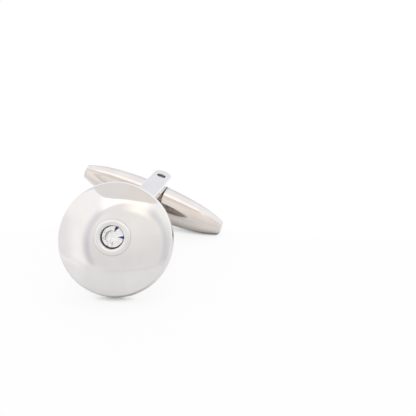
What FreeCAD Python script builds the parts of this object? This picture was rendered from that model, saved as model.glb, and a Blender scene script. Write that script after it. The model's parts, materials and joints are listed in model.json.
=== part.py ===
import FreeCAD, Part
import math
import os
import Sketcher
from FreeCAD import Placement, Rotation, Vector

# A cufflink: a polished dome with one set stone, a forked post that leans back from it, and a
# spindle toggle that turns on a pin between the fork's legs and snaps at each quarter turn.
# Lengths are millimetres, angles are degrees.

SIZES = {
    # face
    "face_diameter": 16.0,
    "crown_height": 2.6,
    "rim_height": 2.2,
    "shell_wall": 0.8,
    "rim_front_round": 0.4,
    "rim_back_round": 0.2,
    "plate_thickness": 0.8,
    "plate_recess": 0.15,
    # stone and its setting
    "stone_diameter": 3.2,
    "stone_crown": 0.55,
    "stone_girdle": 0.12,
    "stone_pavilion": 1.3,
    "stone_table_diameter": 1.9,
    "stone_set_depth": 0.45,
    "stone_clearance": 0.05,
    "stone_culet_diameter": 0.16,
    "bezel_diameter": 5.1,
    "bezel_wall": 0.26,
    "bezel_lip": 0.38,
    "bezel_top_radius": 0.5,
    "cup_wall": 0.35,
    "cup_floor": 0.3,
    "bed_depth": 0.25,
    # post
    "post_lean": 27.3,
    "pin_reach": 17.3,
    "leg_thickness": 1.3,
    "leg_end_width": 2.7,
    "leg_end_reach": 0.85,
    "leg_base_width": 3.0,
    "leg_edge_round": 0.25,
    # toggle
    "toggle_length": 21.8,
    "toggle_diameter": 5.15,
    "toggle_end_diameter": 2.2,
    "toggle_end_round": 0.3,
    "toggle_bore": 1.4,
    "spring_outer": 1.2,
    "spring_wire": 0.22,
    "spring_turns": 9,
    "plunger_length": 1.6,
    "plunger_nose_round": 0.12,
    "spigot_length": 0.9,
    "spring_end_gap": 0.25,
    "plug_length": 1.6,
    # pivot pin
    "pin_diameter": 1.25,
    "pin_recess": 0.25,
    "pin_across_flats": 1.0,
    "pin_chamfer": 0.1,
    # fits
    "side_gap": 0.15,
    "tip_gap": 0.6,
    "seat_clearance": 0.01,
    "running_clearance": 0.03,
    "plunger_gap": 0.05,
    "overrun": 2.0,
}

doc = FreeCAD.newDocument("cufflink")
sheet = doc.addObject("Spreadsheet::Sheet", "Sizes")
for row, (alias, number) in enumerate(SIZES.items(), start=1):
    sheet.set(f"A{row}", alias)
    sheet.set(f"B{row}", str(number))
    sheet.setAlias(f"B{row}", alias)
doc.recompute()


class Size:
    """A size that carries its number and the expression on the sheet that gives it."""

    def __init__(self, number, words):
        self.number = number
        self.words = words

    @staticmethod
    def of(term):
        return term if isinstance(term, Size) else Size(term, repr(term))

    def joined(self, sign, other, number):
        return Size(number, f"({self.words} {sign} {other.words})")

    def __add__(self, term):
        other = Size.of(term)
        return self.joined("+", other, self.number + other.number)

    def __sub__(self, term):
        other = Size.of(term)
        return self.joined("-", other, self.number - other.number)

    def __mul__(self, term):
        other = Size.of(term)
        return self.joined("*", other, self.number * other.number)

    def __truediv__(self, term):
        other = Size.of(term)
        return self.joined("/", other, self.number / other.number)

    def __neg__(self):
        return Size(0, "0") - self

    def root(self):
        return Size(math.sqrt(self.number), f"sqrt({self.words})")

    def tan(self):
        return Size(math.tan(math.radians(self.number)), f"tan({self.words} * 1 deg)")


def size(alias):
    return Size(float(sheet.get(alias)), f"Sizes.{alias}")


ZERO = Size(0, "0")


# Sketches and features

def new_body(label):
    body = doc.addObject("PartDesign::Body", label)
    body.Label = label
    return body


def new_sketch(body, name, plane_role):
    sketch = body.newObject("Sketcher::SketchObject", name)
    plane = next(item for item in body.Origin.OriginFeatures if item.Role == plane_role)
    sketch.AttachmentSupport = (plane, "")
    sketch.MapMode = "FlatFace"
    return sketch


def bind(sketch, constraint, term):
    index = sketch.addConstraint(constraint)
    sketch.setExpression(f"Constraints[{index}]", term.words)


ORIGIN, ORIGIN_POINT = -1, 1
START, END, CENTRE = range(1, 4)
AXIS_ACROSS = dict(zip(("DistanceY", "DistanceX"), range(-1, -3, -1)))


def hold(sketch, edge, point, kind, term):
    """Holds one coordinate of a point of an edge at a size."""
    if term.words == "0":
        sketch.addConstraint(Sketcher.Constraint("PointOnObject", edge, point, AXIS_ACROSS[kind]))
    else:
        bind(sketch, Sketcher.Constraint(kind, ORIGIN, ORIGIN_POINT, edge, point, term.number), term)


def hold_point(sketch, edge, point, place):
    hold(sketch, edge, point, "DistanceX", place[0])
    hold(sketch, edge, point, "DistanceY", place[1])


def arc_between(start, end, radius):
    """The short arc from start to end, counter-clockwise for a positive radius."""
    chord = end - start
    half = chord.Length / 2
    reach = math.sqrt(max(radius.number ** 2 - half ** 2, 0))
    side = Vector(-chord.y, chord.x, 0).normalize() * math.copysign(1, radius.number)
    centre = (start + end) / 2 + side * reach
    middle = centre - side * abs(radius.number)
    return Part.Arc(start, middle, end)


def outline(sketch, corners):
    """A closed outline. A corner is two sizes, and a third is the radius of the arc that leads to it."""
    places = [Vector(corner[0].number, corner[1].number, 0) for corner in corners]
    first_edge = sketch.GeometryCount
    for index, corner in enumerate(corners):
        start, end = places[index - 1], places[index]
        edge = first_edge + index
        joins = (START, END)
        if len(corner) == 2:
            sketch.addGeometry(Part.LineSegment(start, end))
        else:
            sketch.addGeometry(arc_between(start, end, corner[2]))
            if corner[2].number < 0:
                joins = (END, START)
        hold_point(sketch, edge, joins[0], corners[index - 1])
        hold_point(sketch, edge, joins[1], corner)
        if len(corner) == 3:
            radius = corner[2] if corner[2].number > 0 else -corner[2]
            half_circle = math.isclose(2 * radius.number, (end - start).Length)
            if half_circle:
                hold(sketch, edge, CENTRE, "DistanceY", corner[1])
            else:
                bind(sketch, Sketcher.Constraint("Radius", edge, radius.number), radius)


def circle(sketch, radius):
    edge = sketch.addGeometry(Part.Circle(Vector(0, 0, 0), Vector(0, 0, 1), radius.number))
    sketch.addConstraint(Sketcher.Constraint("Coincident", edge, CENTRE, ORIGIN, ORIGIN_POINT))
    bind(sketch, Sketcher.Constraint("Radius", edge, radius.number), radius)


def revolve(body, kind, name, corners, axis="V_Axis", plane="XZ_Plane"):
    """Turns an outline in a plane about the sketch's upright or level axis."""
    sketch = new_sketch(body, f"{name}_sketch", plane)
    outline(sketch, corners)
    feature = body.newObject(f"PartDesign::{kind}", name)
    feature.Profile = sketch
    feature.ReferenceAxis = (sketch, [axis])
    feature.Angle = 360
    doc.recompute()
    return feature


def both_sides(body, kind, name, sketch, length):
    """A pad or pocket of a sketch, half of its length on each side of the sketch's plane."""
    feature = body.newObject(f"PartDesign::{kind}", name)
    feature.Profile = sketch
    feature.Type = 0
    feature.SideType = "Symmetric"
    feature.setExpression("Length", length.words)
    doc.recompute()
    return feature


# Shared sizes of the face

face_radius = size("face_diameter") / 2
crown = size("crown_height")
dome_radius = (face_radius * face_radius + crown * crown) / (crown * 2)
dome_centre = crown - dome_radius
plate_back = size("plate_recess") - size("rim_height")
plate_front = plate_back + size("plate_thickness")
plate_radius = face_radius - size("shell_wall")
stone_radius = size("stone_diameter") / 2
cup_bore = stone_radius + size("stone_clearance")
cup_radius = cup_bore + size("cup_wall")
bezel_radius = size("bezel_diameter") / 2


def dome_height(radius, offset=ZERO):
    """The height of the dome's surface, or of one inside it by an offset, at a radius from its axis."""
    reach = dome_radius - offset
    return dome_centre + (reach * reach - radius * radius).root()


bezel_base = dome_height(bezel_radius)
stone_girdle_top = bezel_base + size("bezel_lip") - size("stone_set_depth")
stone_girdle_base = stone_girdle_top - size("stone_girdle")
stone_table = stone_girdle_top + size("stone_crown")
stone_point = stone_girdle_base - size("stone_pavilion")
cup_inside_floor = stone_point - size("bed_depth")


def make_face_dome():
    """The domed shell, open behind, with a hole at its crown for the setting."""
    body = new_body("face_dome")
    front_round = size("rim_front_round")
    back_round = size("rim_back_round")
    wall = size("shell_wall")
    hole = cup_radius + size("seat_clearance")
    rim_back = -size("rim_height")
    crest = face_radius - front_round / 2
    revolve(body, "Revolution", "shell", [
        (face_radius - back_round, rim_back),
        (face_radius, rim_back + back_round, back_round),
        (face_radius, -front_round / 2),
        (crest, dome_height(crest), front_round),
        (hole, dome_height(hole), dome_radius),
        (hole, dome_height(hole, wall)),
        (plate_radius, dome_height(plate_radius, wall), -(dome_radius - wall)),
        (plate_radius, rim_back),
    ])
    return body


def make_back_plate():
    """The flat plate that closes the shell, let in behind its rim."""
    body = new_body("back_plate")
    radius = plate_radius - size("seat_clearance")
    revolve(body, "Revolution", "plate", [
        (ZERO, plate_back),
        (radius, plate_back),
        (radius, plate_front),
        (ZERO, plate_front),
    ])
    return body


def make_bezel_cup():
    """The stone's cup, with a rounded collar that seats on the dome and a floor below the stone."""
    body = new_body("bezel_cup")
    floor_under = cup_inside_floor - size("cup_floor")
    seat = size("seat_clearance")
    revolve(body, "Revolution", "cup", [
        (ZERO, floor_under),
        (cup_radius, floor_under),
        (cup_radius, dome_height(cup_radius) + seat),
        (bezel_radius, bezel_base + seat, -dome_radius),
        (bezel_radius, bezel_base + size("bezel_wall")),
        (cup_bore, bezel_base + size("bezel_lip"), size("bezel_top_radius")),
        (cup_bore, cup_inside_floor),
        (ZERO, cup_inside_floor),
    ])
    return body


FACETS_AROUND = 8
CORNER_SHARE = math.cos(math.pi / FACETS_AROUND)
culet_radius = size("stone_culet_diameter") / 2
back_slope = (stone_girdle_base - stone_point) / (stone_radius - culet_radius)


def make_stone_bed():
    """The foil and cement that hold the stone's pointed back in its cup, clear of its facets' corners."""
    body = new_body("stone_bed")
    seat = size("seat_clearance")
    radius = cup_bore - seat
    hollow_point = stone_girdle_base - back_slope * stone_radius - seat
    hollow_top = hollow_point + back_slope * CORNER_SHARE * stone_radius
    revolve(body, "Revolution", "bed", [
        (ZERO, cup_inside_floor),
        (radius, cup_inside_floor),
        (radius, hollow_top),
        (stone_radius, hollow_top),
        (ZERO, hollow_point),
    ])
    return body


GIRDLE_FACETS_AROUND = 2 * FACETS_AROUND
STAR_PLACE_SHARE = 1.03
STAR_SLOPE_SHARE = 0.62
CROWN_GIRDLE_SLOPE_SHARE = 1.22
BACK_GIRDLE_SLOPE_SHARE = 1.1


def cut_facets(body, name, place, slope, outward, count, turn_share):
    """Cuts a ring of flat facets, each through a place in the plane of the axis, at a slope."""
    reach = size("stone_diameter")
    sketch = new_sketch(body, f"{name}_sketch", "XZ_Plane")
    turn = turn_share * 360 / count
    sketch.AttachmentOffset = Placement(Vector(), Rotation(Vector(0, 1, 0), turn))
    near = place[1] - slope * place[0]
    far = near + slope * reach
    past = (near if outward > 0 else far) + reach * outward
    outline(sketch, [(ZERO, near), (reach, far), (reach, past), (ZERO, past)])
    pocket = both_sides(body, "Pocket", name, sketch, reach * 2)
    pattern = body.newObject("PartDesign::PolarPattern", f"{name}_ring")
    pattern.Originals = [pocket]
    axis = next(item for item in body.Origin.OriginFeatures if item.Role == "Z_Axis")
    pattern.Axis = (axis, [""])
    pattern.Angle = 360
    pattern.Occurrences = count
    body.Tip = pattern
    doc.recompute()


def make_crystal():
    """The round stone: a flat table, a faceted crown, a thin girdle and a faceted pointed back."""
    body = new_body("crystal")
    revolve(body, "Revolution", "blank", [
        (ZERO, stone_point),
        (stone_radius, stone_point),
        (stone_radius, stone_table),
        (ZERO, stone_table),
    ])
    table_radius = size("stone_table_diameter") / 2
    crown_slope = (stone_girdle_top - stone_table) / (stone_radius - table_radius)
    girdle_top = (stone_radius, stone_girdle_top)
    girdle_base = (stone_radius, stone_girdle_base)
    star_place = (table_radius * STAR_PLACE_SHARE, stone_table)
    half, none = 0.5, 0
    cut_facets(body, "crown_mains", girdle_top, crown_slope, 1, FACETS_AROUND, none)
    cut_facets(body, "crown_stars", star_place, crown_slope * STAR_SLOPE_SHARE, 1, FACETS_AROUND, half)
    cut_facets(body, "crown_girdle", girdle_top, crown_slope * CROWN_GIRDLE_SLOPE_SHARE, 1,
               GIRDLE_FACETS_AROUND, half)
    cut_facets(body, "back_mains", girdle_base, back_slope, -1, FACETS_AROUND, none)
    cut_facets(body, "back_girdle", girdle_base, back_slope * BACK_GIRDLE_SLOPE_SHARE, -1,
               GIRDLE_FACETS_AROUND, half)
    return body


# Shared sizes of the post and toggle. Their own frame has its origin on the pin: X runs along the
# toggle, Y along the pin and Z along the post, away from the face.

toggle_half = size("toggle_length") / 2
toggle_radius = size("toggle_diameter") / 2
toggle_end_radius = size("toggle_end_diameter") / 2
bore_radius = size("toggle_bore") / 2
pin_radius = size("pin_diameter") / 2
fork_gap = size("toggle_diameter") + size("side_gap") * 2
fork_span = fork_gap + size("leg_thickness") * 2
lean_rise = size("post_lean").tan()
plunger_nose = pin_radius + size("plunger_gap")
plunger_tail = plunger_nose + size("plunger_length")
plug_inner_end = toggle_half - size("plug_length")


def edges_on_side(shape, place, skip_radius):
    """The names of the edges that lie at a place along Y, without circles of one radius."""
    names = []
    hairline = Part.Precision.approximation()
    for index, edge in enumerate(shape.Edges, start=1):
        box = edge.BoundBox
        level = abs(box.YMin - place) < hairline and box.YLength < hairline
        hole_edge = isinstance(edge.Curve, Part.Circle) and abs(edge.Curve.Radius - skip_radius) < hairline
        if level and not hole_edge:
            names.append(f"Edge{index}")
    return names


def make_post_fork():
    """The post: a foot on the back plate and two tapered legs, round at their ends, beside the toggle."""
    body = new_body("post_fork")
    end_radius = size("leg_end_width") / 2
    end_start = size("leg_end_reach")
    base_half = size("leg_base_width") / 2
    side = fork_span / 2
    reach = size("pin_reach")
    overrun = size("overrun")
    foot_low = -(reach + lean_rise * side + overrun)
    strip = new_sketch(body, "strip_sketch", "XZ_Plane")
    outline(strip, [
        (base_half, foot_low),
        (base_half, -reach),
        (end_radius, end_start),
        (-end_radius, end_start, end_radius),
        (-base_half, -reach),
        (-base_half, foot_low),
    ])
    both_sides(body, "Pad", "strip", strip, fork_span)

    slot_half = fork_gap / 2
    slot_straight = toggle_half + size("tip_gap") - slot_half
    slot = new_sketch(body, "slot_sketch", "YZ_Plane")
    outline(slot, [
        (slot_half, end_start + end_radius + overrun),
        (-slot_half, end_start + end_radius + overrun),
        (-slot_half, -slot_straight),
        (slot_half, -slot_straight, slot_half),
    ])
    both_sides(body, "Pocket", "slot", slot, size("leg_base_width") + overrun)

    past_side = side + overrun
    foot = new_sketch(body, "foot_sketch", "YZ_Plane")
    outline(foot, [
        (-past_side, lean_rise * past_side - reach),
        (-past_side, foot_low - overrun - lean_rise * past_side),
        (past_side, foot_low - overrun - lean_rise * past_side),
        (past_side, -(reach + lean_rise * past_side)),
    ])
    both_sides(body, "Pocket", "foot", foot, size("leg_base_width") + overrun)

    hole = new_sketch(body, "pin_hole_sketch", "XZ_Plane")
    hole_radius = pin_radius + size("seat_clearance")
    circle(hole, hole_radius)
    pin_hole = both_sides(body, "Pocket", "pin_hole", hole, fork_span + overrun)

    edges = edges_on_side(pin_hole.Shape, -side.number, hole_radius.number)
    edges += edges_on_side(pin_hole.Shape, side.number, hole_radius.number)
    softened = body.newObject("PartDesign::Fillet", "softened_edges")
    softened.Base = (pin_hole, edges)
    softened.setExpression("Radius", "Sizes.leg_edge_round")
    doc.recompute()
    return body


def make_pivot_pin():
    """The pin, fixed in the legs and squared at its middle, where the plunger bears on it."""
    body = new_body("pivot_pin")
    end = fork_span / 2 - size("pin_recess")
    chamfer = size("pin_chamfer")
    revolve(body, "Revolution", "shaft", [
        (-end, ZERO),
        (-end, pin_radius - chamfer),
        (chamfer - end, pin_radius),
        (end - chamfer, pin_radius),
        (end, pin_radius - chamfer),
        (end, ZERO),
    ], "H_Axis", "YZ_Plane")
    flats = new_sketch(body, "flats_sketch", "XZ_Plane")
    for half in (size("pin_diameter"), size("pin_across_flats") / 2):
        outline(flats, [(half, -half), (half, half), (-half, half), (-half, -half)])
    both_sides(body, "Pocket", "flats", flats, size("toggle_bore") + size("side_gap"))
    return body


BELLY_LENGTH_SHARE = 0.655
BELLY_FALL_SHARE = 0.367


def make_toggle_barrel():
    """The spindle, bored from one end for the plunger and its spring, and cross-bored for the pin.

    Its outline is a slack belly arc that runs without a corner into a tighter arc at each end.
    """
    body = new_body("toggle_barrel")
    end_round = size("toggle_end_round")
    end_start = toggle_half - end_round
    belly_half = toggle_half * BELLY_LENGTH_SHARE
    belly_fall = (toggle_radius - toggle_end_radius) * BELLY_FALL_SHARE
    belly_radius = (belly_half * belly_half + belly_fall * belly_fall) / (belly_fall * 2)
    belly_depth = belly_radius - belly_fall
    belly_edge = toggle_radius - belly_fall
    run = end_start - belly_half
    fall = belly_edge - toggle_end_radius
    lean_in = (fall * belly_depth - run * belly_half) / belly_radius
    shoulder_radius = (run * run + fall * fall) / (lean_in * 2)
    revolve(body, "Revolution", "spindle", [
        (-toggle_half, ZERO),
        (-toggle_half, toggle_end_radius - end_round),
        (-end_start, toggle_end_radius, -end_round),
        (-belly_half, belly_edge, -shoulder_radius),
        (belly_half, belly_edge, -belly_radius),
        (end_start, toggle_end_radius, -shoulder_radius),
        (toggle_half, toggle_end_radius - end_round, -end_round),
        (toggle_half, ZERO),
    ], "H_Axis")
    past_end = toggle_half + size("overrun")
    revolve(body, "Groove", "spring_bore", [
        (-past_end, ZERO),
        (-past_end, bore_radius),
        (ZERO, bore_radius),
        (ZERO, ZERO),
    ], "H_Axis")
    hole = new_sketch(body, "pin_bore_sketch", "XZ_Plane")
    circle(hole, pin_radius + size("running_clearance"))
    both_sides(body, "Pocket", "pin_bore", hole, size("toggle_diameter") + size("overrun"))
    return body


def make_detent_plunger():
    """The plunger that the spring holds against the pin's flats, with a spigot inside the spring."""
    body = new_body("detent_plunger")
    radius = bore_radius - size("running_clearance")
    nose_round = size("plunger_nose_round")
    spigot_radius = size("spring_outer") / 2 - size("spring_wire") - size("plunger_gap")
    spigot_end = plunger_tail + size("spigot_length")
    revolve(body, "Revolution", "plunger", [
        (-spigot_end, ZERO),
        (-spigot_end, spigot_radius),
        (-plunger_tail, spigot_radius),
        (-plunger_tail, radius),
        (-(plunger_nose + nose_round), radius),
        (-plunger_nose, radius - nose_round, -nose_round),
        (-plunger_nose, ZERO),
    ], "H_Axis")
    return body


def make_barrel_plug():
    """The plug that closes the bore, flush with the spindle's end."""
    body = new_body("barrel_plug")
    radius = bore_radius - size("seat_clearance")
    revolve(body, "Revolution", "plug", [
        (-toggle_half, ZERO),
        (-toggle_half, radius),
        (-plug_inner_end, radius),
        (-plug_inner_end, ZERO),
    ], "H_Axis")
    return body


def arc_from(start, heading, end):
    """The arc from start to end that leaves start along a heading."""
    chord = end - start
    along = Vector(chord).normalize()
    bow = (heading - along * heading.dot(along)).normalize()
    rise = chord.Length / 2 * math.tan(heading.getAngle(chord) / 2)
    return Part.Arc(start, (start + end) / 2 + bow * rise, end).toShape()


def biarc(start, heading, end, end_heading):
    """Two arcs that join two places with the headings given there."""
    span = end - start
    both = heading + end_heading
    square = 2 * (1 - heading.dot(end_heading))
    slant = span.dot(both)
    reach = (math.sqrt(slant ** 2 + square * span.dot(span)) - slant) / square
    joint = (start + heading * reach + end - end_heading * reach) / 2
    first = arc_from(start, heading, joint)
    second = arc_from(end, end_heading * -1, joint)
    return [first, second]


def make_detent_spring():
    """The coil spring between the plunger and the plug, swept along arcs of a quarter turn."""
    wire_radius = size("spring_wire").number / 2
    coil_radius = size("spring_outer").number / 2 - wire_radius
    turns = int(size("spring_turns").number)
    room = size("spring_end_gap").number + wire_radius
    start_x = -plunger_tail.number - room
    end_x = -plug_inner_end.number + room
    steps = 2 * turns

    def place(step):
        angle = math.pi * step
        return Vector(start_x + (end_x - start_x) * step / steps,
                      coil_radius * math.cos(angle), coil_radius * math.sin(angle))

    def heading(step):
        angle = math.pi * step
        along = (end_x - start_x) / steps
        around = math.pi * coil_radius
        return Vector(along, -around * math.sin(angle), around * math.cos(angle)).normalize()

    edges = []
    for step in range(steps):
        edges += biarc(place(step), heading(step), place(step + 1), heading(step + 1))
    path = Part.Wire(Part.__sortEdges__(edges))
    ring = Part.Wire([Part.makeCircle(wire_radius, place(0), heading(0))])
    spring = doc.addObject("Part::Feature", "detent_spring")
    spring.Label = "detent_spring"
    spring.Shape = path.makePipeShell([ring], True, False)
    wound = math.pi * wire_radius ** 2 * path.Length
    print(f"spring volume {spring.Shape.Volume:.4f}, section times length {wound:.4f}")
    pitch = abs(end_x - start_x) / turns
    print(f"spring gap between turns {pitch - 2 * wire_radius:.3f}")
    return spring


# How the cufflink lies on a table: on the back edge of its rim, the end of its lower leg and one
# end of its toggle. Each foot is a circle with a rounded edge.

SETTLING_ROUNDS = 60


def lowest_point(foot, up):
    """Where a foot's rounded edge touches the table."""
    centre, axis, ring_radius, edge_round = foot
    level = up - axis * up.dot(axis)
    return centre - level.normalize() * ring_radius - up * edge_round


def resting_up(feet, up):
    """The direction that points up once all three feet touch the table."""
    for _ in range(SETTLING_ROUNDS):
        rim, leg, tip = (lowest_point(foot, up) for foot in feet)
        normal = (tip - rim).cross(leg - rim).normalize()
        up = normal if normal.dot(up) > 0 else normal * -1
    return up


def check_built(built):
    """Stops if a feature failed or a sub-part has no sound solid."""
    for item in doc.Objects:
        if "Invalid" in item.State or "Error" in item.State:
            raise RuntimeError(f"{item.Name} did not build: {item.State}")
    for part in built:
        if part.Shape.isNull() or not part.Shape.isValid():
            raise RuntimeError(f"{part.Label} has no sound shape")


def report(name, place):
    print(f"{name}: {place.x:.6f} {place.y:.6f} {place.z:.6f}")


def make_all():
    face_parts = [make_face_dome(), make_back_plate(), make_bezel_cup(), make_stone_bed(), make_crystal()]
    link_parts = [make_post_fork(), make_pivot_pin(), make_toggle_barrel(), make_detent_plunger(),
                  make_detent_spring(), make_barrel_plug()]
    doc.recompute()
    check_built(face_parts + link_parts)

    lean = size("post_lean").number
    link_turn = Rotation(Vector(1, 0, 0), 180 + lean)
    along_post = link_turn.multVec(Vector(0, 0, 1))
    foot_place = Vector(0, 0, plate_back.number)
    pin_place = foot_place + along_post * size("pin_reach").number
    leg_end = pin_place + along_post * size("leg_end_reach").number
    link_frame = Placement(pin_place, link_turn)

    back_round = size("rim_back_round").number
    edge_round = size("leg_edge_round").number
    end_round = size("toggle_end_round").number
    along_pin = link_turn.multVec(Vector(0, 1, 0))
    along_toggle = Vector(1, 0, 0)
    feet = [
        (Vector(0, 0, back_round - size("rim_height").number), Vector(0, 0, 1),
         face_radius.number - back_round, back_round),
        (leg_end + along_pin * (fork_span.number / 2 - edge_round), along_pin,
         size("leg_end_width").number / 2 - edge_round, edge_round),
        (pin_place + along_toggle * (toggle_half.number - end_round), along_toggle,
         toggle_end_radius.number - end_round, end_round),
    ]
    up = resting_up(feet, Vector(0, 1, 1).normalize())
    table = lowest_point(feet[0], up).dot(up)
    backward = Vector(0, 0, -1)
    backward = (backward - up * backward.dot(up)).normalize()
    rightward = backward.cross(up)
    laid = Placement(FreeCAD.Matrix(
        rightward.x, rightward.y, rightward.z, 0,
        backward.x, backward.y, backward.z, 0,
        up.x, up.y, up.z, -table,
        0, 0, 0, 1))

    for part in face_parts:
        part.Placement = laid
    for part in link_parts:
        part.Placement = laid.multiply(link_frame)
    doc.recompute()

    box = FreeCAD.BoundBox()
    for part in face_parts + link_parts:
        box.add(part.Shape.optimalBoundingBox(False, False))
    shift = Placement(Vector(-box.Center.x, -box.Center.y, 0), Rotation())
    for part in face_parts + link_parts:
        part.Placement = shift.multiply(part.Placement)
    doc.recompute()

    frame = shift.multiply(laid)
    link = frame.multiply(link_frame)
    report("overall", Vector(box.XLength, box.YLength, box.ZLength))
    report("face centre", frame.Base)
    report("face normal", frame.Rotation.multVec(Vector(0, 0, 1)))
    report("pin", link.Base)
    report("toggle axis", link.Rotation.multVec(Vector(1, 0, 0)))
    report("pin axis", link.Rotation.multVec(Vector(0, 1, 0)))
    report("post axis", link.Rotation.multVec(Vector(0, 0, 1)))
    return face_parts + link_parts


parts = make_all()

os.makedirs("parts", exist_ok=True)
for part in parts:
    print(part.Label, len(part.Shape.Solids), round(part.Shape.Volume, 4), len(part.Shape.Faces))
    part.Shape.exportStep(f"parts/{part.Label}.step")
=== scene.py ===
import json
import math

import bmesh
import bpy
from mathutils import Matrix, Vector

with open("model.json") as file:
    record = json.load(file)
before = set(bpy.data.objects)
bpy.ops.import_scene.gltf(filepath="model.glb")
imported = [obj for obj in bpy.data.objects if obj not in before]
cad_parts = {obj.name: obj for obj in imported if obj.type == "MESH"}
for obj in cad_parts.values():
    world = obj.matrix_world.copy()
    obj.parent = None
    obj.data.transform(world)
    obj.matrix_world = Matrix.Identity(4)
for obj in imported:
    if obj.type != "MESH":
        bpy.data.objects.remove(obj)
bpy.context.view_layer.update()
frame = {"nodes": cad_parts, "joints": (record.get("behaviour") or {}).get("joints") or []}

# A cufflink on a white table, in the light of a cloth tent. Lengths are metres, colours are three shares.

MM = 0.001
WHITE = (1.0, 1.0, 1.0)
JOINTS = {joint["name"]: joint for joint in frame["joints"]}
PIN_AXIS = Vector(JOINTS["toggle_turn"]["axis"]).normalized()
TOGGLE_AXIS = Vector(JOINTS["plunger_slide"]["axis"]).normalized()


# Node helpers. A mix node has a share, two colours and a result among its many sockets.

MIX_SOCKETS = (0, 6, 7)
MIX_OUTPUT = 2
OPEN_SAMPLES = 8


class Nodes:
    """A material's or world's node tree, with short words for adding and joining nodes."""

    def __init__(self, owner):
        owner.use_nodes = True
        self.tree = owner.node_tree
        self.tree.nodes.clear()

    def add(self, kind, inputs=None, **settings):
        node = self.tree.nodes.new(kind)
        for name, setting in settings.items():
            setattr(node, name, setting)
        for name, source in (inputs or {}).items():
            self.feed(node.inputs[name], source)
        return node

    def feed(self, socket, source):
        """Joins a socket to another, or sets its number, place or colour."""
        if isinstance(source, bpy.types.NodeSocket):
            self.tree.links.new(source, socket)
        elif socket.type == "RGBA":
            socket.default_value = (*source, 1.0)
        else:
            socket.default_value = source

    def math(self, operation, *terms):
        node = self.add("ShaderNodeMath", operation=operation)
        for socket, term in zip(node.inputs, terms):
            self.feed(socket, term)
        return node.outputs[0]

    def step(self, term, low, high, start=0.0, end=1.0):
        """Goes smoothly from start to end as the term goes from low to high."""
        node = self.add("ShaderNodeMapRange", {"Value": term, "From Min": low, "From Max": high,
                                               "To Min": start, "To Max": end},
                        interpolation_type="SMOOTHSTEP")
        return node.outputs["Result"]

    def mix(self, share, first, second):
        """The first colour at share 0, the second at share 1."""
        node = self.add("ShaderNodeMix", data_type="RGBA")
        for index, source in zip(MIX_SOCKETS, (share, first, second)):
            self.feed(node.inputs[index], source)
        return node.outputs[MIX_OUTPUT]

    def dot(self, vector, direction):
        node = self.add("ShaderNodeVectorMath", {0: vector, 1: direction}, operation="DOT_PRODUCT")
        return node.outputs["Value"]

    def places(self):
        """Places on the object, from its origin."""
        return self.add("ShaderNodeTexCoord").outputs["Object"]

    def axes(self, vector):
        return self.add("ShaderNodeSeparateXYZ", {"Vector": vector}).outputs

    def open_share(self, reach):
        """How open a place is, up to a reach: near 0 in a crevice, 1 in the open."""
        node = self.add("ShaderNodeAmbientOcclusion", {"Distance": reach}, samples=OPEN_SAMPLES)
        return node.outputs["AO"]

    def surface(self, shader):
        self.add("ShaderNodeOutputMaterial", {"Surface": shader.outputs[0]})


def new_material(name):
    material = bpy.data.materials.new(name)
    return material, Nodes(material)


def aligned_places(nodes, along, stretch_share):
    """Places on the object, turned so that X runs along an axis, and shortened along it."""
    turn = along.to_track_quat("X", "Z").inverted().to_euler()
    turned = nodes.add("ShaderNodeMapping", {"Vector": nodes.places(), "Rotation": turn}).outputs["Vector"]
    stretched = nodes.add("ShaderNodeMapping", {"Vector": turned, "Scale": (stretch_share, 1, 1)})
    return stretched.outputs["Vector"]


def noise(nodes, places, grain, detail=3.0):
    """Noise whose blotches are about one grain across."""
    node = nodes.add("ShaderNodeTexNoise", {"Vector": places, "Scale": 1 / grain, "Detail": detail})
    return node.outputs["Fac"]


def bump(nodes, height, depth, normal=None):
    inputs = {"Height": height, "Strength": 1.0, "Distance": depth}
    if normal is not None:
        inputs["Normal"] = normal
    return nodes.add("ShaderNodeBump", inputs).outputs["Normal"]


# Wear of the metals, and painted shade in their crevices and near the floor

CREVICE_REACH = 1.1 * MM
# A dark tone for casting pits and tarnish, and for painted shade in crevices and near the floor.
TARNISH_AND_SHADE = (0.06, 0.045, 0.035)
TARNISH_AND_SHADE_OPEN_SHARES = (0.12, 0.82)
PIT_SPACING = 2.2 * MM
PIT_RADIUS = 0.10 * MM
PIT_DEPTH = 0.02 * MM
PITTED_SHARE = 0.35
PIT_TARNISH_SHARE = 0.6


def tarnished_and_shaded(nodes, tone):
    """The tone, darkened where a seam or a recess keeps the polish out, and near the floor: partly tarnish,
    partly painted shade.
    """
    return nodes.mix(nodes.step(nodes.open_share(CREVICE_REACH), *TARNISH_AND_SHADE_OPEN_SHARES), TARNISH_AND_SHADE, tone)


def pits(nodes, places):
    """Casting pits: 1 in the middle of a few scattered specks, 0 elsewhere."""
    cells = nodes.add("ShaderNodeTexVoronoi", {"Vector": places, "Scale": 1 / PIT_SPACING}).outputs
    near = nodes.step(cells["Distance"], 0.0, PIT_RADIUS / PIT_SPACING, 1.0, 0.0)
    draw = nodes.add("ShaderNodeSeparateColor", {"Color": cells["Color"]}).outputs[0]
    return nodes.math("MULTIPLY", near, nodes.math("LESS_THAN", draw, PITTED_SHARE))


# Metals

CLOUD_GRAIN = 3 * MM
STREAK_GRAIN = 0.06 * MM
STREAK_DETAIL = 4.0
WAVE_GRAIN = 5 * MM
WAVE_DETAIL = 1.0
DRIFT_SHARES = (0.3, 0.7)


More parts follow.
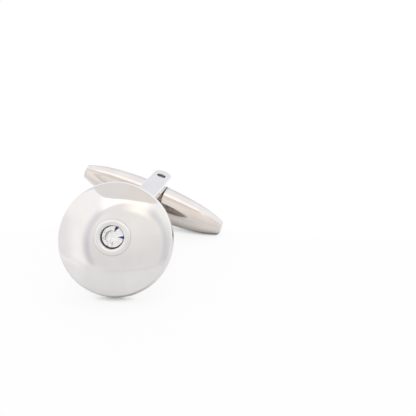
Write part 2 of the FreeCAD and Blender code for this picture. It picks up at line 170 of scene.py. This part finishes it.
def metal(name, along, light_tone, dark_tone, rough_range, streak_share, streak_depth, wave_depth,
          aged_and_shaded=False):
    """Plated metal: tone and gloss drift a little, streaks run along an axis, and the surface rolls."""
    material, nodes = new_material(name)
    places = nodes.places()
    cloud = noise(nodes, places, CLOUD_GRAIN)
    streaks = noise(nodes, aligned_places(nodes, along, streak_share), STREAK_GRAIN, STREAK_DETAIL)
    waves = noise(nodes, places, WAVE_GRAIN, WAVE_DETAIL)
    tone = nodes.mix(nodes.step(cloud, *DRIFT_SHARES), light_tone, dark_tone)
    gloss = nodes.math("DIVIDE", nodes.math("ADD", cloud, streaks), 2)
    rough = nodes.step(gloss, *DRIFT_SHARES, *rough_range)
    normal = bump(nodes, streaks, streak_depth, bump(nodes, waves, wave_depth))
    # Casting pits, then tarnish and painted shade in seams, recesses and near the floor.
    if aged_and_shaded:
        specks = pits(nodes, places)
        normal = bump(nodes, nodes.math("SUBTRACT", 1.0, specks), PIT_DEPTH, normal)
        tone = nodes.mix(nodes.math("MULTIPLY", specks, PIT_TARNISH_SHARE), tone, TARNISH_AND_SHADE)
        tone = tarnished_and_shaded(nodes, tone)
    nodes.surface(nodes.add("ShaderNodeBsdfPrincipled", {"Base Color": tone, "Metallic": 1.0,
                                                        "Roughness": rough, "Normal": normal}))
    return material


def polished_plate():
    return metal("polished_plate", PIN_AXIS, light_tone=(0.80, 0.785, 0.775), dark_tone=(0.77, 0.755, 0.745),
                 rough_range=(0.04, 0.09), streak_share=0.15, streak_depth=0.0003 * MM,
                 wave_depth=0.01 * MM, aged_and_shaded=True)


def bright_plate():
    return metal("bright_plate", PIN_AXIS, light_tone=(0.81, 0.795, 0.785), dark_tone=(0.78, 0.765, 0.755),
                 rough_range=(0.04, 0.09), streak_share=0.15, streak_depth=0.0003 * MM,
                 wave_depth=0.004 * MM)


def satin_plate():
    return metal("satin_plate", TOGGLE_AXIS, light_tone=(0.76, 0.708, 0.672), dark_tone=(0.71, 0.658, 0.622),
                 rough_range=(0.06, 0.14), streak_share=0.03, streak_depth=0.0012 * MM,
                 wave_depth=0.008 * MM, aged_and_shaded=True)


def dull_plate():
    return metal("dull_plate", TOGGLE_AXIS, light_tone=(0.50, 0.44, 0.40), dark_tone=(0.43, 0.375, 0.34),
                 rough_range=(0.18, 0.32), streak_share=0.05, streak_depth=0.002 * MM,
                 wave_depth=0.01 * MM, aged_and_shaded=True)


def pin_steel():
    return metal("pin_steel", PIN_AXIS, light_tone=(0.62, 0.59, 0.57), dark_tone=(0.56, 0.53, 0.51),
                 rough_range=(0.06, 0.14), streak_share=0.1, streak_depth=0.0005 * MM,
                 wave_depth=0.004 * MM, aged_and_shaded=True)


def spring_steel():
    return metal("spring_steel", TOGGLE_AXIS, light_tone=(0.56, 0.55, 0.54), dark_tone=(0.47, 0.46, 0.45),
                 rough_range=(0.2, 0.35), streak_share=0.5, streak_depth=0.0005 * MM,
                 wave_depth=0.002 * MM)


def plunger_brass():
    return metal("plunger_brass", TOGGLE_AXIS, light_tone=(0.78, 0.60, 0.30), dark_tone=(0.68, 0.50, 0.24),
                 rough_range=(0.15, 0.3), streak_share=0.2, streak_depth=0.001 * MM,
                 wave_depth=0.002 * MM)


def foil():
    return metal("foil", PIN_AXIS, light_tone=(0.98, 0.98, 0.98), dark_tone=(0.96, 0.96, 0.96),
                 rough_range=(0.25, 0.35), streak_share=0.6, streak_depth=0.0002 * MM,
                 wave_depth=0.002 * MM)


# The stone

CLEAR_GLASS = (0.97, 0.985, 1.0)
# Tones for the stone's painted reflections and painted edge shade: near black, and blue.
PAINTED_DARK = (0.002, 0.003, 0.008)
PAINTED_BLUE = (0.0, 0.012, 0.16)
GLASS_IOR = 1.55
LINE_GRAIN = 0.03 * MM
LINE_STRETCH_SHARE = 0.05
LINE_DEPTH = 0.0001 * MM
HAZE_GRAIN = 0.8 * MM
HAZE_SHARES = (0.4, 0.8)
HAZE_ROUGHNESS = 0.02
# Where the painted dark reflections lie: their turns, tips and widening.
GLINT_TURNS = (math.radians(66), math.radians(1))
GLINT_TIPS = (0.68 * MM, 0.78 * MM)
GLINT_SLOPE_SHARES = (0.28, 0.32)
GLINT_SOFTNESS = 0.03 * MM
BLUE_PLACES = (1.1 * MM, 1.42 * MM)
# Radii and shift of the painted shade round the stone's edge, which leaves its middle bright.
BRIGHT_RADII = (1.43 * MM, 1.49 * MM)
BRIGHT_SHIFT = (0.05 * MM, 0.09 * MM)
SILVERING = (0.97, 0.97, 0.97)
SILVERING_ROUGHNESS = 0.15
SILVERING_HEIGHTS = (0.03 * MM, 0.06 * MM)


def stone_places(nodes):
    """Places on the stone, rightward, upward and forward from the middle of its girdle."""
    stone = frame["nodes"]["crystal"].data
    front = max(stone.polygons, key=lambda facet: facet.area).normal
    right = Vector((1, 0, 0))
    right = (right - front * right.dot(front)).normalized()
    corners = [corner.co for corner in stone.vertices]
    rightmost = max(corners, key=lambda corner: corner.dot(right))
    leftmost = min(corners, key=lambda corner: corner.dot(right))
    middle = (leftmost + rightmost) / 2
    shifted = nodes.add("ShaderNodeVectorMath", {0: nodes.places(), 1: middle}, operation="SUBTRACT")
    return [nodes.dot(shifted.outputs["Vector"], axis) for axis in (right, front.cross(right), front)]


def painted_glint(nodes, rightward, upward, turn, tip, slope_share):
    """A painted dark reflection: a wedge that widens from its tip to the stone's edge."""
    along = nodes.math("ADD", nodes.math("MULTIPLY", rightward, math.cos(turn)),
                       nodes.math("MULTIPLY", upward, math.sin(turn)))
    across = nodes.math("SUBTRACT", nodes.math("MULTIPLY", upward, math.cos(turn)),
                        nodes.math("MULTIPLY", rightward, math.sin(turn)))
    half_width = nodes.math("MULTIPLY", nodes.math("SUBTRACT", along, tip), slope_share)
    inside = nodes.math("SUBTRACT", half_width, nodes.math("ABSOLUTE", across))
    return nodes.step(inside, -GLINT_SOFTNESS, GLINT_SOFTNESS)


def painted_edge_shade_share(nodes, rightward, upward):
    """Painted shade: 1 on the stone's outer side in a ring where the setting shades its edge, 0 elsewhere.
    """
    squares = [nodes.math("POWER", nodes.math("SUBTRACT", place, shift), 2)
               for place, shift in zip((rightward, upward), BRIGHT_SHIFT)]
    radius = nodes.math("SQRT", nodes.math("ADD", *squares))
    inner_side = nodes.add("ShaderNodeNewGeometry").outputs["Backfacing"]
    outer = nodes.math("SUBTRACT", nodes.step(radius, *BRIGHT_RADII), inner_side)
    return nodes.math("MAXIMUM", outer, 0.0)


def crystal():
    """Clear cut glass, silvered behind, with two painted dark reflections as glints, a painted shade round
    its edge and faint polishing lines.
    """
    material, nodes = new_material("crystal")
    lines = noise(nodes, aligned_places(nodes, TOGGLE_AXIS, LINE_STRETCH_SHARE), LINE_GRAIN)
    haze = noise(nodes, nodes.places(), HAZE_GRAIN)
    rightward, upward, forward = stone_places(nodes)
    tone = nodes.mix(haze, CLEAR_GLASS, WHITE)
    painted_blue_tone = nodes.mix(nodes.step(rightward, *BLUE_PLACES), PAINTED_DARK, PAINTED_BLUE)
    for turn, tip, share, colour in zip(GLINT_TURNS, GLINT_TIPS, GLINT_SLOPE_SHARES, (PAINTED_DARK, painted_blue_tone)):
        tone = nodes.mix(painted_glint(nodes, rightward, upward, turn, tip, share), tone, colour)
    silvered = nodes.step(forward, *SILVERING_HEIGHTS, 1.0, 0.0)
    tone = nodes.mix(silvered, tone, SILVERING)
    tone = nodes.mix(painted_edge_shade_share(nodes, rightward, upward), tone, PAINTED_DARK)
    rough = nodes.math("MAXIMUM", nodes.step(haze, *HAZE_SHARES, 0.0, HAZE_ROUGHNESS),
                       nodes.math("MULTIPLY", silvered, SILVERING_ROUGHNESS))
    nodes.surface(nodes.add("ShaderNodeBsdfPrincipled", {
        "Base Color": tone, "Roughness": rough, "Metallic": silvered, "IOR": GLASS_IOR,
        "Transmission Weight": 1.0, "Normal": bump(nodes, lines, LINE_DEPTH)}))
    return material


MAKERS = (polished_plate, satin_plate, pin_steel, spring_steel, plunger_brass, foil, crystal)
NODE_MAKERS = {"back_plate": dull_plate, "bezel_cup": bright_plate}


def dress_nodes():
    """Gives each node the material that its own one names, and two nodes a plate of their own."""
    made = {maker.__name__: maker() for maker in MAKERS}
    for node in frame["nodes"].values():
        for slot in node.material_slots:
            slot.material = made[slot.material.name.split(".")[0]]
    for name, maker in NODE_MAKERS.items():
        frame["nodes"][name].material_slots[0].material = maker()


# The floor

FLOOR_HALF = 600 * MM
FLOOR_DROP = 0.01 * MM
FLOOR_ROUGHNESS = 0.3
FLOOR_GLOW_SHARE = 0.90
MIRRORED_GLOW_SHARE = 0.25
# The floor's tone by place is painted light and shade: darker on the right and far in front, bluish behind.
LEFT_FLOOR = (0.88, 0.88, 0.88)
RIGHT_FLOOR = (0.64, 0.64, 0.64)
FLOOR_TURN_PLACES = (-160 * MM, 0)
FAR_FLOOR_SHARE = 0.80
FAR_FLOOR_PLACES = (-200 * MM, -40 * MM)
BACK_FLOOR = (0.86, 0.875, 0.91)
BACK_FLOOR_PLACES = (5 * MM, 16 * MM)
# A painted shade on the floor near the object, from how open each place is.
CONTACT_REACH = 6 * MM
CONTACT_SHADE = (0.22, 0.17, 0.14)
CONTACT_OPEN_SHARES = (0.05, 0.65)
SHADOW_OPEN_SHARES = (0.0, 0.30)


def floor_material():
    """Pale cloth with painted light and shade by place, a painted contact shade where the object touches it,
    and white to the eye away from the painted shadow.
    """
    material, nodes = new_material("floor_white")
    axes = nodes.axes(nodes.places())
    open_share = nodes.open_share(CONTACT_REACH)
    tone = nodes.mix(nodes.step(axes["X"], *FLOOR_TURN_PLACES), LEFT_FLOOR, RIGHT_FLOOR)
    near_share = nodes.step(axes["Y"], *FAR_FLOOR_PLACES, FAR_FLOOR_SHARE, 1.0)
    dimmed = nodes.add("ShaderNodeVectorMath", {0: tone, "Scale": near_share}, operation="SCALE")
    tone = nodes.mix(nodes.step(axes["Y"], *BACK_FLOOR_PLACES), dimmed.outputs["Vector"], BACK_FLOOR)
    tone = nodes.mix(nodes.step(open_share, *CONTACT_OPEN_SHARES), CONTACT_SHADE, tone)
    cloth = nodes.add("ShaderNodeBsdfPrincipled", {"Base Color": tone, "Roughness": FLOOR_ROUGHNESS})
    path = nodes.add("ShaderNodeLightPath").outputs
    # Near the object the white glow gives way to the cloth: a painted shadow from how open each place is.
    lit_share = nodes.step(open_share, *SHADOW_OPEN_SHARES, 0.0, FLOOR_GLOW_SHARE)
    direct = nodes.math("MULTIPLY", path["Is Camera Ray"], lit_share)
    mirrored = nodes.math("MAXIMUM", path["Is Glossy Ray"], path["Is Transmission Ray"])
    glow_share = nodes.math("MAXIMUM", direct, nodes.math("MULTIPLY", mirrored, MIRRORED_GLOW_SHARE))
    glow = nodes.add("ShaderNodeEmission", {"Color": WHITE, "Strength": 1.0})
    nodes.surface(nodes.add("ShaderNodeMixShader", {0: glow_share, 1: cloth.outputs[0], 2: glow.outputs[0]}))
    return material


def make_floor():
    mesh = bpy.data.meshes.new("floor")
    shape = bmesh.new()
    bmesh.ops.create_grid(shape, x_segments=1, y_segments=1, size=FLOOR_HALF)
    shape.to_mesh(mesh)
    shape.free()
    floor = bpy.data.objects.new("floor", mesh)
    floor.location.z = -FLOOR_DROP
    mesh.materials.append(floor_material())
    bpy.context.scene.collection.objects.link(floor)


# The tent's cloth, by heading from the table

TENT_STRENGTH = 1.25
OPENING_HEADING = Vector((0.152, -0.843, 0.515)).normalized()
OPENING_SHARES = (0.475, 0.53)
LOW_FRONT = (0.705, 0.695, 0.69)
HIGH_FRONT = (0.82, 0.805, 0.79)
HIGH_FRONT_SHARES = (0.2, 0.75)
EDGE = (0.60, 0.60, 0.625)
HIGH_EDGE = (0.69, 0.69, 0.71)
HIGH_EDGE_SHARES = (0.35, 0.65)
WALL = (0.91, 0.895, 0.89)
WALL_SHARES = (0.535, 0.64)
CREAM = (1.17, 1.05, 0.97)
CREAM_SHARES = (0.40, 0.46)
CREAM_ASIDE_SHARES = (-0.05, 0.3)
BAND = (1.16, 1.12, 1.10)
BAND_SHARES = (0.535, 0.57)
BAND_MIDDLE_SHARE = 0.06
BAND_HALF_SHARES = (0.30, 0.55)
BAND_FRONT_SHARES = (-0.45, -0.25)
FOOT = (0.725, 0.715, 0.71)
LEFT_FOOT = (0.82, 0.805, 0.80)
FOOT_ASIDE_SHARES = (-0.75, -0.25)
FOOT_RISE_SHARES = (-0.04, 0.10)
SIDE = (0.775, 0.765, 0.77)
SIDE_SHARES = (0.80, 0.97)
UPPER_LEFT = (0.90, 0.945, 0.99)
UPPER_RIGHT = (0.91, 0.955, 1.0)
UPPER_ASIDE_SHARES = (-0.1, 0.2)
UPPER_SHARES = (0.15, 0.35)
BACK = (0.765, 0.775, 0.825)
BACK_SHARES = (0.78, 0.93)
BACK_FOOT = (0.82, 0.88, 0.97)
BACK_FOOT_SHARES = (0.3, 0.8)


def front_cloth(nodes, axes, apart):
    """The open front, its shaded edge and bright walls at the sides, and a bright band above it."""
    front = nodes.mix(nodes.step(axes["Z"], *HIGH_FRONT_SHARES), LOW_FRONT, HIGH_FRONT)
    edge = nodes.mix(nodes.step(axes["Z"], *HIGH_EDGE_SHARES), EDGE, HIGH_EDGE)
    edge = nodes.mix(nodes.step(apart, *WALL_SHARES), edge, WALL)
    sides = nodes.mix(nodes.step(apart, *OPENING_SHARES), front, edge)
    cream = nodes.mix(nodes.step(axes["X"], *CREAM_ASIDE_SHARES), front, CREAM)
    above = nodes.mix(nodes.step(apart, *CREAM_SHARES), front, cream)
    above = nodes.mix(nodes.step(apart, *BAND_SHARES), above, BAND)
    from_band = nodes.math("ABSOLUTE", nodes.math("SUBTRACT", axes["X"], BAND_MIDDLE_SHARE))
    band_share = nodes.math("MULTIPLY", nodes.step(from_band, *BAND_HALF_SHARES, 1.0, 0.0),
                            nodes.step(axes["Y"], *BAND_FRONT_SHARES))
    return nodes.mix(band_share, sides, above)


def tent_colour(nodes, heading):
    """The front's cloth, then the foot, the sides, and the cooler upper back, back and back's foot."""
    axes = nodes.axes(heading)
    angle = nodes.math("ARCCOSINE", nodes.dot(heading, OPENING_HEADING))
    colour = front_cloth(nodes, axes, nodes.math("DIVIDE", angle, math.pi / 2))
    foot = nodes.mix(nodes.step(axes["X"], *FOOT_ASIDE_SHARES), LEFT_FOOT, FOOT)
    colour = nodes.mix(nodes.step(axes["Z"], *FOOT_RISE_SHARES), foot, colour)
    colour = nodes.mix(nodes.step(nodes.math("ABSOLUTE", axes["X"]), *SIDE_SHARES), colour, SIDE)
    upper = nodes.mix(nodes.step(axes["X"], *UPPER_ASIDE_SHARES), UPPER_LEFT, UPPER_RIGHT)
    colour = nodes.mix(nodes.step(axes["Y"], *UPPER_SHARES), colour, upper)
    colour = nodes.mix(nodes.step(axes["Y"], *BACK_SHARES), colour, BACK)
    back_foot_share = nodes.math("MULTIPLY", nodes.step(axes["Y"], *BACK_FOOT_SHARES),
                                 nodes.step(axes["Z"], *FOOT_RISE_SHARES, 1.0, 0.0))
    return nodes.mix(back_foot_share, colour, BACK_FOOT)


def make_tent():
    world = bpy.data.worlds.new("tent")
    bpy.context.scene.world = world
    nodes = Nodes(world)
    heading = nodes.add("ShaderNodeTexCoord").outputs["Generated"]
    background = nodes.add("ShaderNodeBackground", {"Color": tent_colour(nodes, heading),
                                                    "Strength": TENT_STRENGTH})
    nodes.add("ShaderNodeOutputWorld", {"Surface": background.outputs[0]})


# A grey card close over the object, which only its metal and its stone mirror

CARD_HEIGHT = 40 * MM
CARD_CORNERS_MM = ((-36, 3.5), (-21, 2.5), (-19, -1), (-16.5, -4.5), (-13, -7.2), (-8, -8.6), (-2, -9),
                   (5, -8.9), (11, -8.2), (18, -6.6), (26, -3), (28, 2), (24, 4), (10, 5.5), (-4, 7.5),
                   (-10, 9), (-36, 9))
CARD_TURN_PLACES = (-3 * MM, -1 * MM)
LEFT_CARD = (0.894, 0.875, 0.869)
RIGHT_CARD = (0.93, 0.875, 0.8375)


def card_material():
    material, nodes = new_material("card_grey")
    aside = nodes.axes(nodes.places())["X"]
    tone = nodes.mix(nodes.step(aside, *CARD_TURN_PLACES), LEFT_CARD, RIGHT_CARD)
    nodes.surface(nodes.add("ShaderNodeEmission", {"Color": tone, "Strength": 1.0}))
    return material


def make_card():
    mesh = bpy.data.meshes.new("card")
    shape = bmesh.new()
    shape.faces.new([shape.verts.new((aside * MM, back * MM, 0)) for aside, back in CARD_CORNERS_MM])
    shape.to_mesh(mesh)
    shape.free()
    card = bpy.data.objects.new("card", mesh)
    card.location.z = CARD_HEIGHT
    mesh.materials.append(card_material())
    card.visible_camera = False
    card.visible_diffuse = False
    card.visible_shadow = False
    bpy.context.scene.collection.objects.link(card)


# The lamp, and how far light is followed

LAMP_HEADING = Vector((0.17, 0.42, 0.89))
LAMP_STRENGTH = 1.0
LAMP_SPREAD = math.radians(32)
LIGHT_BOUNCES = 24


def make_lamp():
    """A soft lamp over the tent's back, which gives the table its shadows."""
    data = bpy.data.lights.new("lamp", "SUN")
    data.energy = LAMP_STRENGTH
    data.angle = LAMP_SPREAD
    lamp = bpy.data.objects.new("lamp", data)
    lamp.rotation_euler = LAMP_HEADING.to_track_quat("Z", "Y").to_euler()
    lamp.visible_glossy = False
    bpy.context.scene.collection.objects.link(lamp)


def allow_bounces():
    """Lets light cross the stone and the setting often enough to come out again."""
    settings = bpy.context.scene.cycles
    settings.max_bounces = LIGHT_BOUNCES
    settings.glossy_bounces = LIGHT_BOUNCES
    settings.transmission_bounces = LIGHT_BOUNCES


# The camera, fitted to the photograph's frame

FRAME_PIXELS = 416
FOCAL_PIXELS = 2000
SENSOR_WIDTH_MM = 36
CAMERA_AZIMUTH = math.radians(6.515)
CAMERA_ELEVATION = math.radians(27.928)
CAMERA_ROLL = math.radians(-1.623)
CAMERA_DISTANCE = 285.57 * MM
CAMERA_ASIDE = 9.287 * MM
CAMERA_LIFT = 2.694 * MM
CLIP_SHARE = 0.01
TARGET = Vector((0, 0, 5 * MM))


def make_camera():
    toward = Vector((math.sin(CAMERA_AZIMUTH) * math.cos(CAMERA_ELEVATION),
                     -math.cos(CAMERA_AZIMUTH) * math.cos(CAMERA_ELEVATION),
                     math.sin(CAMERA_ELEVATION)))
    level = Vector((math.cos(CAMERA_AZIMUTH), math.sin(CAMERA_AZIMUTH), 0))
    right = Matrix.Rotation(CAMERA_ROLL, 3, toward) @ level
    up = toward.cross(right)
    place = TARGET + toward * CAMERA_DISTANCE + right * CAMERA_ASIDE + up * CAMERA_LIFT
    data = bpy.data.cameras.new("camera")
    data.sensor_width = SENSOR_WIDTH_MM
    data.lens = SENSOR_WIDTH_MM * FOCAL_PIXELS / FRAME_PIXELS
    data.clip_start = CAMERA_DISTANCE * CLIP_SHARE
    camera = bpy.data.objects.new("camera", data)
    camera.matrix_world = Matrix.Translation(place) @ Matrix((right, up, toward)).transposed().to_4x4()
    bpy.context.scene.collection.objects.link(camera)
    bpy.context.scene.camera = camera


bpy.context.scene.view_settings.view_transform = "Standard"
allow_bounces()
dress_nodes()
make_floor()
make_tent()
make_card()
make_lamp()
make_camera()
